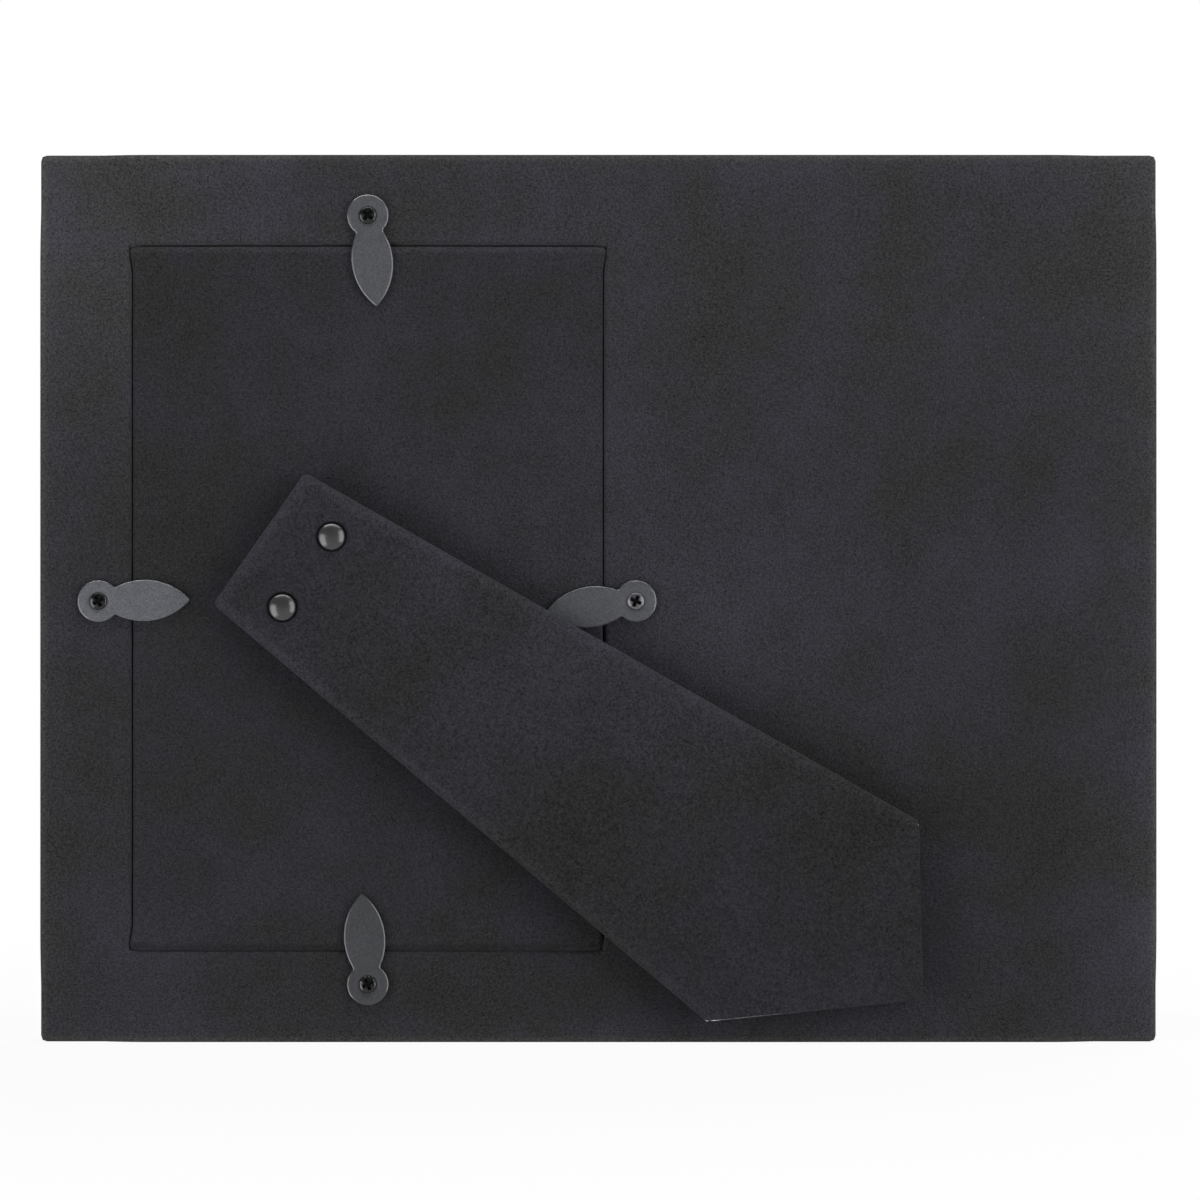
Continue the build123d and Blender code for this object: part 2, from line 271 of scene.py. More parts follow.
class Amount:
    """A shader socket that Python's operators work on, each adding a Math node."""

    def __init__(self, nodes, socket):
        self.nodes = nodes
        self.socket = socket

    def math(self, operation, first, second):
        """Adds a Math node on two values."""
        return self.nodes.add("ShaderNodeMath", {"operation": operation}, {0: first, 1: second})

    def __add__(self, other):
        return self.math("ADD", self, other)

    def __sub__(self, other):
        return self.math("SUBTRACT", self, other)

    def __rsub__(self, other):
        return self.math("SUBTRACT", other, self)

    def __mul__(self, other):
        return self.math("MULTIPLY", self, other)

    def __truediv__(self, other):
        return self.math("DIVIDE", self, other)

    __radd__ = __add__
    __rmul__ = __mul__

    def limited(self):
        """Held between 0 and 1."""
        return self.nodes.add("ShaderNodeClamp", {}, {"Value": self})


class Nodes:
    """A node tree that is being built."""

    def __init__(self, tree):
        self.tree = tree
        self.tree.nodes.clear()

    def add(self, kind, settings, inputs, output=0):
        """Adds a node, sets it, fills or links its sockets, and gives one of its outputs, if any."""
        node = self.tree.nodes.new(kind)
        for name, value in settings.items():
            setattr(node, name, value)
        for key, value in inputs.items():
            socket = self.pick(node.inputs, key)
            if isinstance(value, Amount):
                self.tree.links.new(value.socket, socket)
            else:
                socket.default_value = value
        if node.outputs:
            return Amount(self, self.pick(node.outputs, output))

    def pick(self, sockets, key):
        """One socket of a node, by its number, its identifier or its name."""
        if isinstance(key, int):
            return sockets[key]
        return next(socket for socket in sockets if key in (socket.identifier, socket.name))

    def noise(self, place, size, detail=2.0, roughness=0.5):
        """Soft noise whose patches are about as long as size."""
        values = {"Vector": place, "Scale": 1 / size, "Detail": detail, "Roughness": roughness}
        return self.add("ShaderNodeTexNoise", {}, values)

    def speckle(self, place, size, detail=2.0, roughness=0.5, low=0.3, high=0.7):
        """Noise with more contrast: from low to high it goes from 0 to 1."""
        return self.spread(self.noise(place, size, detail, roughness), low, high)

    def mark(self, name):
        """What was marked on the piece's own mesh under a name."""
        return self.add("ShaderNodeAttribute", {"attribute_name": name}, {}, "Fac")

    def length(self, vector):
        """How long a vector is."""
        return self.add("ShaderNodeVectorMath", {"operation": "LENGTH"}, {0: vector}, "Value")

    def spread(self, value, low, high):
        """A value from low to high, spread out over 0 to 1."""
        return ((value - low) / (high - low)).limited()

    def tint(self, share, first, second):
        """A colour between two others."""
        values = {"Factor_Float": share, "A_Color": first, "B_Color": second}
        return self.add("ShaderNodeMix", {"data_type": "RGBA"}, values, "Result_Color")

    def shade(self, colour, amount):
        """A colour made lighter or darker by an amount around 1."""
        values = {0: colour, 1: amount}
        return self.add("ShaderNodeVectorMath", {"operation": "MULTIPLY"}, values, "Vector")

    def bump(self, height, strength, distance):
        """A surface that rises by up to a distance where height is 1."""
        values = {"Height": height, "Strength": strength, "Distance": distance}
        return self.add("ShaderNodeBump", {}, values, "Normal")

    def stretched(self, place, scale, turn=(0, 0, 0), centre=(0, 0, 0)):
        """Coordinates from a centre, turned, then scaled, to draw a pattern out along one way."""
        values = {"Vector": place, "Location": centre, "Scale": scale, "Rotation": turn}
        return self.add("ShaderNodeMapping", {"vector_type": "TEXTURE"}, values, "Vector")


def ray_is(nodes, *kinds):
    """1 for rays of some kinds."""
    shares = [nodes.add("ShaderNodeLightPath", {}, {}, f"Is {kind} Ray") for kind in kinds]
    return sum(shares).limited()


def material_of(name, surface_of):
    """A material with the surface that surface_of makes of its nodes and coordinates."""
    material = bpy.data.materials.new(name)
    material.use_nodes = True
    nodes = Nodes(material.node_tree)
    place = nodes.add("ShaderNodeTexCoord", {}, {}, "Object")
    nodes.add("ShaderNodeOutputMaterial", {}, {"Surface": surface_of(nodes, place)})
    return material


def finish_of(name, look, lets_light_in=False):
    """A material whose Principled sockets get what look gives for its nodes and coordinates."""

    def surface_of(nodes, place):
        """The Principled surface, which light may pass straight through."""
        surface = nodes.add("ShaderNodeBsdfPrincipled", {}, look(nodes, place), "BSDF")
        if not lets_light_in:
            return surface
        clear = nodes.add("ShaderNodeBsdfTransparent", {}, {"Color": white})
        light = ray_is(nodes, "Shadow", "Diffuse")
        return nodes.add("ShaderNodeMixShader", {}, {0: light, 1: surface, 2: clear})

    return material_of(name, surface_of)


def velour_look(nodes, place):
    """Short black pile: cloudy, grainy close up and paler where frayed, with painted light: a pool of light, a
    sheen on rims, and the light and shade marked on each piece.
    """
    clouds = nodes.speckle(place, 38 * mm)
    patches = nodes.speckle(place, 9 * mm)
    tufts = nodes.speckle(place, 0.7 * mm, 2.0, 0.6, 0.25, 0.75)
    fibres = nodes.speckle(place, 0.36 * mm, 1.0, 0.5, 0.25, 0.75)
    lint = nodes.speckle(place, 0.9 * mm, 1.0, 0.5, 0.76, 0.84)
    painted_rim_sheen = nodes.mark("painted_rim_sheen")
    tone_and_painted_light = nodes.mark("tone_and_painted_light")
    cut = nodes.mark("pale_cut")
    # A painted pool of light, strongest round the middle of the back
    from_light_pool = nodes.length(nodes.stretched(place, light_pool_reach, centre=light_pool_centre))
    painted_light_pool = nodes.spread(from_light_pool, 1.0, 0.15)
    hue = nodes.spread(clouds * 0.6 + patches * 0.4 + painted_light_pool * 0.25 - painted_rim_sheen, 0.3, 0.7)
    pile = nodes.tint(hue, (0.0227, 0.0227, 0.023, 1), (0.0224, 0.0221, 0.0273, 1))
    # Painted sheen along the rims, paler and warmer than the pile
    rim_sheen_colour = nodes.tint(painted_rim_sheen, pile, (0.0465, 0.0438, 0.0428, 1))
    grain = 0.02 + 0.62 * tufts + 0.95 * fibres + 0.26 * clouds + 0.14 * patches + 0.8 * lint
    pale = nodes.shade(rim_sheen_colour, grain * (1 + tone_and_painted_light + light_pool_strength * painted_light_pool))
    fray = nodes.spread(cut * (0.75 + 0.5 * fibres), 0.1, 0.85)
    brushed = nodes.noise(nodes.stretched(place, (1, 1, 3)), 1.4 * mm)
    return {
        "Base Color": nodes.tint(fray, pale, (0.7, 0.69, 0.67, 1)),
        "Roughness": 0.95,
        "Specular IOR Level": 0.08,
        "Sheen Weight": 0.08,
        "Sheen Roughness": 0.5,
        "Sheen Tint": (0.75, 0.75, 0.8, 1),
        "Normal": nodes.bump(fibres * 0.4 + tufts * 0.4 + brushed * 0.4, 0.5, 0.2 * mm),
    }


def board_fibres(nodes, place):
    """The matted fibres of a board, lying flat in it."""
    return nodes.noise(nodes.stretched(place, (4, 1, 4)), 0.9 * mm, 3.0, 0.65)


def gap_shade_board_look(nodes, place):
    """Fibreboard coloured near black under the covers, which paints shade at the bottom of the gaps round the
    door.
    """
    fibres = board_fibres(nodes, place)
    return {
        "Base Color": nodes.tint(fibres, (0.008, 0.008, 0.0085, 1), (0.02, 0.019, 0.018, 1)),
        "Roughness": 0.8 + 0.15 * fibres,
        "Specular IOR Level": 0.2,
        "Normal": nodes.bump(fibres, 0.4, 0.15 * mm),
    }


def leatherette_look(nodes, place):
    """Black covering paper with a fine pebble grain."""
    values = {"Vector": place, "Scale": 1 / (0.9 * mm), "Randomness": 0.9}
    pebbles = nodes.add("ShaderNodeTexVoronoi", {"feature": "SMOOTH_F1"}, values, "Distance")
    wrinkles = nodes.noise(place, 2.4 * mm, 3.0)
    wear = nodes.noise(place, 28 * mm)
    colour = nodes.tint(wear, (0.011, 0.011, 0.0115, 1), (0.016, 0.0158, 0.0162, 1))
    return {
        "Base Color": nodes.shade(colour, 0.6 + 0.5 * wrinkles + 0.5 * pebbles),
        "Roughness": 0.34 + 0.18 * wear + 0.2 * pebbles,
        "Specular IOR Level": 0.45,
        "Normal": nodes.bump(1 - pebbles + wrinkles * 0.4, 0.7, 0.2 * mm),
    }


def fibreboard_look(nodes, place):
    """Raw brown fibreboard."""
    fibres = board_fibres(nodes, place)
    flecks = nodes.speckle(place, 0.8 * mm)
    colour = nodes.tint(nodes.spread(fibres, 0.3, 0.7), (0.19, 0.14, 0.09, 1), (0.4, 0.31, 0.21, 1))
    return {
        "Base Color": nodes.shade(colour, 0.65 + 0.6 * flecks),
        "Roughness": 0.8 + 0.15 * fibres,
        "Specular IOR Level": 0.25,
        "Normal": nodes.bump(fibres, 0.4, 0.15 * mm),
    }


def lining_look(nodes, place):
    """Black lining paper."""
    fibres = nodes.noise(nodes.stretched(place, (3, 1, 3)), 0.7 * mm, 3.0)
    clouds = nodes.noise(place, 18 * mm)
    colour = nodes.tint(clouds, (0.016, 0.016, 0.0165, 1), (0.024, 0.024, 0.025, 1))
    return {
        "Base Color": nodes.shade(colour, 0.7 + 0.6 * fibres),
        "Roughness": 0.72 + 0.2 * fibres,
        "Specular IOR Level": 0.3,
        "Normal": nodes.bump(fibres, 0.25, 0.06 * mm),
    }


def photo_paper_look(nodes, place):
    """A plain pale insert."""
    fibres = nodes.noise(place, 0.6 * mm, 3.0)
    clouds = nodes.noise(place, 40 * mm)
    colour = nodes.tint(clouds, (0.74, 0.725, 0.69, 1), (0.8, 0.79, 0.765, 1))
    return {
        "Base Color": nodes.shade(colour, 0.94 + 0.12 * fibres),
        "Roughness": 0.5 + 0.2 * fibres,
        "Specular IOR Level": 0.35,
        "Normal": nodes.bump(fibres, 0.1, 0.03 * mm),
    }


def card_look(nodes, place):
    """Grey-brown card."""
    fibres = nodes.noise(nodes.stretched(place, (1, 1, 3)), 1.1 * mm, 3.0)
    colour = nodes.tint(fibres, (0.38, 0.31, 0.22, 1), (0.54, 0.46, 0.35, 1))
    return {
        "Base Color": colour,
        "Roughness": 0.75 + 0.2 * fibres,
        "Normal": nodes.bump(fibres, 0.2, 0.06 * mm),
    }


def glass_look(nodes, place):
    """Clear picture glass, with a breath of dust in its gloss."""
    dust = nodes.noise(place, 14 * mm, 3.0)
    return {
        "Base Color": (0.94, 0.97, 0.955, 1),
        "Roughness": 0.01 + 0.02 * dust,
        "Transmission Weight": 1.0,
        "IOR": 1.5,
    }


def enamel_look(painted_lightness):
    """Charcoal enamel made lighter or darker for one button to paint the light that falls on it, dull on its face
    and rubbed shiny along its edge.
    """

    def look(nodes, place):
        """The enamel's nodes."""
        peel = nodes.speckle(place, 0.32 * mm, 2.0, 0.6)
        clouds = nodes.noise(place, 6 * mm)
        edge = nodes.mark("edge")
        colour = nodes.tint(clouds, (0.0405, 0.0425, 0.0485, 1), (0.0525, 0.055, 0.062, 1))
        return {
            "Base Color": nodes.shade(colour, (0.62 + 0.7 * peel) * painted_lightness),
            "Roughness": 0.36 + 0.06 * clouds + 0.06 * peel - 0.24 * edge,
            "Specular IOR Level": 0.6,
            "Normal": nodes.bump(peel, 0.25, 0.03 * mm),
        }

    return look


def rivet_look(nodes, place):
    """Black lacquered rivet caps, faintly rubbed."""
    rubbed = nodes.noise(place, 1.8 * mm, 3.0)
    return {
        "Base Color": nodes.tint(rubbed, (0.022, 0.022, 0.0235, 1), (0.036, 0.036, 0.0375, 1)),
        "Roughness": 0.18 + 0.09 * rubbed,
        "Specular IOR Level": 0.7,
    }


def screw_look(nodes, place):
    """Blackened steel."""
    oxide = nodes.speckle(place, 0.42 * mm)
    return {
        "Base Color": nodes.tint(oxide, (0.003, 0.003, 0.0033, 1), (0.008, 0.008, 0.0085, 1)),
        "Roughness": 0.05 + 0.06 * oxide,
        "Specular IOR Level": 0.5,
        "Normal": nodes.bump(oxide, 0.3, 0.05 * mm),
    }


def painted_reflection_screw_look(nodes, place):
    """A screw head of pale grey steel, which paints the reflection of a bright light that it catches."""
    rubbed = nodes.speckle(place, 0.8 * mm, 3.0, 0.5, 0.35, 0.65)
    return {
        "Base Color": nodes.tint(rubbed, (0.085, 0.084, 0.095, 1), (0.2, 0.198, 0.215, 1)),
        "Metallic": 0.6 + 0.3 * rubbed,
        "Roughness": 0.3 + 0.12 * rubbed,
        "Normal": nodes.bump(rubbed, 0.1, 0.04 * mm),
    }


def recess_look(nodes, place):
    """The dull black inside of the cross."""
    grime = nodes.noise(place, 0.4 * mm)
    return {
        "Base Color": nodes.tint(grime, (0.004, 0.004, 0.004, 1), (0.01, 0.01, 0.0105, 1)),
        "Roughness": 0.7 + 0.2 * grime,
        "Specular IOR Level": 0.1,
    }


def hinge_look(nodes, place):
    """Plain rolled steel sheet, drawn along the leg."""
    drawn = nodes.noise(nodes.stretched(place, (14, 1, 1), (0, leg_slant, 0)), 0.35 * mm, 3.0)
    dull = nodes.noise(place, 5 * mm)
    colour = nodes.tint(dull, (0.42, 0.42, 0.41, 1), (0.58, 0.58, 0.57, 1))
    return {
        "Base Color": nodes.shade(colour, 0.85 + 0.3 * drawn),
        "Metallic": 1.0,
        "Roughness": 0.28 + 0.14 * drawn + 0.14 * dull,
        "Normal": nodes.bump(drawn, 0.12, 0.04 * mm),
    }


def placing(origin, along, across):
    """The matrix from the bench to a seat, given where its origin, X and Y go."""
    out = along.cross(across)
    turned = Matrix((along, across, out)).transposed()
    return Matrix.Translation(origin) @ turned.to_4x4()


right = Vector((1, 0, 0))
up = Vector((0, 0, 1))
back_low, back_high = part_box("back_velvet")
door_low, door_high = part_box("door_velvet")
front_low, front_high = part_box("front_cover")
leg_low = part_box("leg_velvet")[0]
back_place = placing(Vector((0, back_low.y, 0)), right, up)
front_place = placing(Vector((0, front_high.y, 0)), -right, up)
hinge = joints["easel_leg_hinge"]
leg_across = -Vector(hinge["axis"])
leg_along = leg_across.cross(Vector((0, -1, 0)))
leg_place = placing(Vector((hinge["pos_m"][0], leg_low.y, hinge["pos_m"][2])), leg_along, leg_across)
opening_low = Vector((door_low.x - opening_gap, door_low.z - opening_gap))
opening_high = Vector((door_high.x + opening_gap, door_high.z + opening_gap))


def spaced(start, end, keep=()):
    """Places from start to end, even in between and close at both ends, with some kept exactly."""
    near = [end_spacing * step for step in range(end_lines)]
    inner = round((end - start) / velour_spacing)
    even = [start + (end - start) * step / inner for step in range(1, inner)]
    places = [start + gap for gap in near] + even + [end - gap for gap in near]
    places = [place for place in places if all(abs(place - kept) > clear_of_kept for kept in keep)]
    for kept in keep:
        places.extend([kept - end_spacing, kept, kept + end_spacing])
    return sorted(set(places))


def flat_cloth(columns, rows, place_of=lambda column, row: (column, row)):
    """A flat cloth whose points lie at each column and row, or where place_of puts them."""
    cloth = bmesh.new()
    points = [[cloth.verts.new((*place_of(column, row), 0)) for row in rows] for column in columns]
    for i in range(len(columns) - 1):
        for j in range(len(rows) - 1):
            cloth.faces.new((points[i][j], points[i + 1][j], points[i + 1][j + 1], points[i][j + 1]))
    return cloth


def cut_out(cloth, low, high):
    """Cuts a rectangle out of a flat cloth."""
    inside = []
    for face in cloth.faces:
        middle = face.calc_center_median()
        if low.x < middle.x < high.x and low.y < middle.y < high.y:
            inside.append(face)
    bmesh.ops.delete(cloth, geom=inside, context="FACES")


def loose_edges(cloth, low=None, high=None):
    """The edges with cloth on one side only, all of them or those in a box."""
    found = [edge for edge in cloth.edges if edge.is_boundary]
    if low is None:
        return found
    return [edge for edge in found if all(in_box(point.co, low, high) for point in edge.verts)]


def in_box(place, low, high):
    """Whether a place is in a rectangle, or just outside it."""
    spare = velour_spacing
    return low.x - spare < place.x < high.x + spare and low.y - spare < place.y < high.y + spare


def cloth_with_hole(roll, low, high):
    """A flat cloth over the frame, short of its rolled edges, with a hole; and the edges of both."""
    columns = spaced(cad_low.x + roll, cad_high.x - roll, (low.x, high.x))
    rows = spaced(cad_low.z + roll, cad_high.z - roll, (low.y, high.y))
    cloth = flat_cloth(columns, rows)
    cut_out(cloth, low, high)
    hole_edges = loose_edges(cloth, low, high)
    outer_edges = [edge for edge in loose_edges(cloth) if edge not in set(hole_edges)]
    return cloth, hole_edges, outer_edges


def ease_corners(edges, passes, left_sharp=lambda place: False):
    """Rounds the sharp corners of a loose edge in plan, but for those that are left sharp."""
    beside = {}
    for edge in edges:
        for point in edge.verts:
            beside.setdefault(point, []).append(edge.other_vert(point))
    for _ in range(passes):
        eased = {}
        for point, (before, after) in beside.items():
            middle = (before.co + after.co) / 2
            turn = (point.co - before.co).angle(after.co - point.co, 0)
            if turn > eased_turn and not left_sharp(point.co):
                eased[point] = point.co.lerp(middle, eased_share)
        for point, place in eased.items():
            point.co = place


def outward_steps(edges):
    """For each point of a loose edge, the way out of the cloth, long enough to move both edges by 1."""
    ways = {}
    for edge in edges:
        first, second = edge.verts
        along = (second.co - first.co).normalized()
        way = Vector((along.y, -along.x, 0))
        inside = edge.link_faces[0].calc_center_median() - first.co
        if way.dot(inside) > 0:
            way.negate()
        for point in edge.verts:
            ways.setdefault(point, []).append(way)
    return {point: (a + b) / max(1 + a.dot(b), mitre_limit) for point, (a, b) in ways.items()}


def fold_steps(roll, depth, thickness):
    """How far out and down each step of a fold goes: round a roll, down to its depth and up inside."""
    arc = [pi / 2 * step / roll_steps for step in range(1, roll_steps + 1)]
    steps = [(roll * sin(angle), roll * (1 - cos(angle))) for angle in arc]
    return steps + [(roll, depth), (roll - thickness, depth), (roll - thickness, thickness)]


def turn_over(cloth, edges, thickness, fold_of):
    """Turns a loose edge over, each point round the roll and down to the depth that fold_of gives."""
    ways = outward_steps(edges)
    starts = {point: point.co.copy() for point in ways}
    folds = {point: fold_steps(*fold_of(point.co), thickness) for point in ways}
    current = {point: point for point in ways}
    for step in range(roll_steps + straight_steps):
        made = bmesh.ops.extrude_edge_only(cloth, edges=edges)["geom"]
        fresh = {item for item in made if isinstance(item, bmesh.types.BMVert)}
        edges = [item for item in made if isinstance(item, bmesh.types.BMEdge)]
        edges = [edge for edge in edges if all(point in fresh for point in edge.verts)]
        for first, latest in current.items():
            beside = [edge.other_vert(latest) for edge in latest.link_edges]
            moved = next(point for point in beside if point in fresh)
            out, down = folds[first][step]
            moved.co = starts[first] + ways[first] * out - Vector((0, 0, down))
            current[first] = moved
    return edges


def in_scene(name, data):
    """A new object of the scene."""
    made = bpy.data.objects.new(name, data)
    bpy.context.scene.collection.objects.link(made)
    return made


def piece_of(cloth, name, place, material):
    """The finished cloth as a piece, smooth and in its place."""
    bmesh.ops.remove_doubles(cloth, verts=cloth.verts, dist=cloth_merge)
    bmesh.ops.recalc_face_normals(cloth, faces=cloth.faces)
    for face in cloth.faces:
        face.smooth = True
    mesh = bpy.data.meshes.new(name)
    cloth.to_mesh(mesh)
    cloth.free()
    mesh.transform(place)
    mesh.materials.append(material)
    return in_scene(name, mesh)


def ripple(seat, length):
    """Smooth noise from 0 to 1, with ripples of about a length."""
    return noise.noise(seat / length) * 0.5 + 0.5


def soften(cloth, place, extra=None):
    """Presses soft hollows into a cloth's face, never above the face that it was laid on."""
    for point in cloth.verts:
        seat = place @ point.co
        broad = ripple(seat, relief_length)
        fine = ripple(seat, fine_relief_length)
        point.co.z -= relief_depth * broad + fine_relief_depth * fine
        if extra:
            point.co.z -= extra(point.co)


def wavy(edges, place):
    """Lets a loose edge wander a little, as a hand-turned edge does."""
    for point, way in outward_steps(edges).items():
        point.co -= way * edge_wave * ripple(place @ point.co, edge_wave_length)


def rectangle(left, bottom, right_side, top):
    """The corners of a rectangle in turn, ending where it starts."""
    corners = ((left, bottom), (right_side, bottom), (right_side, top), (left, top), (left, bottom))
    return [Vector(corner) for corner in corners]


def mark_painted_light(cloth):
    """Marks painted light on the back over an even paler tone: paler towards its edges, its sides and most of all
    its top corners.
    """
    tone_and_painted_light = cloth.verts.layers.float.new("tone_and_painted_light")
    for point in cloth.verts:
        rise = smooth_step(point.co.y, *painted_light_rise)
        from_centre = point.co.x - painted_light_centre
        aside = smooth_step(abs(from_centre), *painted_light_aside)
        side = (painted_light_right if from_centre > 0 else painted_light_left) * (1 - rise)
        from_edge = min(cad_high.x - abs(point.co.x), point.co.y, cad_high.z - point.co.y)
        edge = painted_light_edge * closeness(from_edge, painted_light_edge_width)
        point[tone_and_painted_light] = back_pale_level + painted_light_top * rise + (side + painted_light_corner * rise**2) * aside + edge


def mark_door_painted_light(cloth):
    """Marks a paler tone on the door, with a painted highlight along its top edge and painted shade along its
    bottom edge.
    """
    tone_and_painted_light = cloth.verts.layers.float.new("tone_and_painted_light")
    top = max(point.co.y for point in cloth.verts)
    bottom = min(point.co.y for point in cloth.verts)
    for point in cloth.verts:
        near_top = closeness(top - point.co.y, door_edge_width)
        near_bottom = closeness(point.co.y - bottom, door_edge_width)
        point[tone_and_painted_light] = door_pale + door_top_painted_highlight * near_top - door_bottom_painted_shade * near_bottom


def mark_rim_sheen(cloth, mark, corners, width, sheen_at):
    """Marks a painted sheen on a cloth along the sides that join its corners in turn."""
    painted_rim_sheen = cloth.verts.layers.float.new(mark)
    sides = [(start, (end - start).normalized()) for start, end in zip(corners, corners[1:])]
    for point in cloth.verts:
        from_edge = min(abs((point.co.xy - start).cross(way)) for start, way in sides)
        point[painted_rim_sheen] = closeness(from_edge, width) * sheen_at(point.co)


def smooth_step(value, low=0.0, high=1.0):
    """0 at low, 1 at high, smooth in between and level beyond."""
    share = max(0.0, min(1.0, (value - low) / (high - low)))
    return share * share * (3 - 2 * share)


def closeness(distance, reach):
    """1 at no distance, falling smoothly to 0 at its reach."""
    return smooth_step(1 - distance / reach)


def corner_pull(from_corner, from_edge):
    """How far the cover is drawn in at a point, by its distance from a corner and from an edge."""
    near_corner = closeness(from_corner, corner_draw_length)
    return corner_draw * near_corner * closeness(from_edge, snip_length)


def drawn_corners(point):
    """How the cover of the back draws in towards its corners, where it is folded."""
    from_side = cad_high.x - abs(point.x)
    from_end = min(point.y, cad_high.z - point.y)
    pull_x = corner_pull(from_end, from_side)
    pull_y = corner_pull(from_side, from_end)
    x = point.x - pull_x if point.x > 0 else point.x + pull_x
    y = point.y - pull_y if point.y > cad_high.z / 2 else point.y + pull_y
    return Vector((x, y, point.z))


def snipped(point):
    """How the sides of the opening and of its door stand aside at all corners but the lower right."""
    from_top = abs(point.y - opening_high.y)
    from_corner = min(from_top, abs(point.y - opening_low.y))
    left_aside = snip_width * closeness(from_corner, snip_length)
    right_aside = snip_width * closeness(from_top, snip_length)
    near_left = closeness(abs(point.x - opening_low.x), 2 * snip_length)
    near_right = closeness(abs(point.x - opening_high.x), 2 * snip_length)
    return Vector((point.x - left_aside * near_left + right_aside * near_right, point.y, point.z))


def closed_gap(point):
    """How the pile of the opening closes the gap round the door at its corners and along its bottom."""
    corners = rectangle(*opening_low, *opening_high)[:4]
    nearest = min(corners, key=lambda corner: (point.xy - corner).length)
    share = closeness((point.xy - nearest).length, corner_close_length)
    middle = (opening_low + opening_high) / 2
    step = Vector((1 if middle.x > nearest.x else -1, 1 if middle.y > nearest.y else -1, 0))
    moved = step * corner_close * share
    if step.y > 0:
        from_bottom = abs(point.y - opening_low.y)
        moved.y = max(moved.y, bottom_close * closeness(from_bottom, corner_close_length))
    return point + moved


def back_velour(material):
    """The velour of the back: its face, its wrapped edges and the lining of the door opening."""
    setback = opening_roll - pile_in_gap
    low = opening_low - Vector((setback, setback))
    high = opening_high + Vector((setback, setback))
    cloth, opening_edges, outer_edges = cloth_with_hole(outer_roll, low, high)
    ease_corners(outer_edges, outer_corner_passes)
    ease_corners(opening_edges, door_corner_passes)
    for point in cloth.verts:
        point.co = snipped(closed_gap(drawn_corners(point.co)))
    wavy(opening_edges, back_place)
    soften(cloth, back_place)
    depth = back_high.y - back_low.y
    outline = rectangle(cad_low.x, cad_low.z, cad_high.x, cad_high.z)
    # A painted sheen along the back's rim, and painted light over its face
    mark_rim_sheen(cloth, "painted_rim_sheen", outline, back_rim_width, lambda place: back_rim_sheen)
    mark_painted_light(cloth)
    inner_loop = turn_over(cloth, opening_edges, velour_thickness, lambda place: (opening_roll, depth))
    outer_loop = turn_over(cloth, outer_edges, velour_thickness, lambda place: (outer_roll, depth))
    bmesh.ops.bridge_loops(cloth, edges=inner_loop + outer_loop)
    piece = piece_of(cloth, "back_velour", back_place, material)
    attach(piece, "frame")
    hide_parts("back_velvet")


def door_velour(material):
    """The velour of the lift-out door, wrapped over its four edges."""
    setback = door_roll - pile_in_gap
    columns = spaced(door_low.x + setback, door_high.x - setback)
    rows = spaced(door_low.z + setback, door_high.z - setback)
    cloth = flat_cloth(columns, rows)
    edges = loose_edges(cloth)
    ease_corners(edges, door_corner_passes)
    for point in cloth.verts:
        point.co = snipped(point.co)
    # The edge of the door wanders in its own way, out of step with that of the opening
    wavy(edges, back_place @ Matrix.Translation((0, 0, relief_length)))
    soften(cloth, back_place)
    # Painted highlight along the door's top edge and painted shade along its bottom edge
    mark_door_painted_light(cloth)
    depth = door_high.y - door_low.y
    last = turn_over(cloth, edges, velour_thickness, lambda place: (door_roll, depth))
    bmesh.ops.contextual_create(cloth, geom=last)
    piece = piece_of(cloth, "door_velour", back_place, material)
    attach(piece, "frame")
    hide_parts("door_velvet")


def crossing(point, angle, other_point, other_angle):
    """Where two lines meet, each given by a point on it and the angle that it runs at."""
    ahead = Vector((cos(angle), sin(angle)))
    across = Vector((cos(other_angle), sin(other_angle)))
    gap = other_point - point
    return point + ahead * (gap.cross(across) / ahead.cross(across))


def leg_corners(inset, foot_inset):
    """The leg's corners, drawn in: its top's lower and upper one, then its foot from lower to upper."""
    half_width = leg_hinge_width / 2 - inset / cos(leg_flare)
    lower = Vector((0, -half_width))
    upper = Vector((0, half_width))
    top_end = Vector((inset - leg_overhang, 0))
    tip = Vector((leg_reach, leg_point_offset))
    bottom = tip + Vector((sin(leg_foot_bottom_angle), -cos(leg_foot_bottom_angle))) * foot_inset
    side = tip + Vector((-sin(leg_foot_side_angle), cos(leg_foot_side_angle))) * foot_inset
    point = crossing(bottom, leg_foot_bottom_angle, side, leg_foot_side_angle)
    return (
        crossing(lower, -leg_flare, top_end, pi / 2),
        crossing(upper, leg_flare, top_end, pi / 2),
        crossing(lower, -leg_flare, point, leg_foot_bottom_angle),
        point,
        crossing(upper, leg_flare, point, leg_foot_side_angle),
    )


def rivet_seats():
    """Where the two rivets of the leg stand, on the leg's own bench."""
    return [Vector((leg_rivet_setback, side * leg_rivet_spacing / 2, 0)) for side in (-1, 1)]


def from_rivet(point):
    """How far a point of the leg is from the nearest rivet's axis."""
    return min((point - seat).xy.length for seat in rivet_seats())


def refine_round_rivets(cloth):
    """Makes the cloth finer where the rivets press into it."""
    reach = rivet_dimple_outer + velour_spacing
    near = [edge for edge in cloth.edges if all(from_rivet(point.co) < reach for point in edge.verts)]
    bmesh.ops.subdivide_edges(cloth, edges=near, cuts=rivet_dimple_cuts, use_grid_fill=True)


def rivet_dimples(point):
    """How far the velour is pressed down round the rivets."""
    return rivet_dimple_depth * smooth_step(from_rivet(point), rivet_dimple_outer, rivet_dimple_inner)


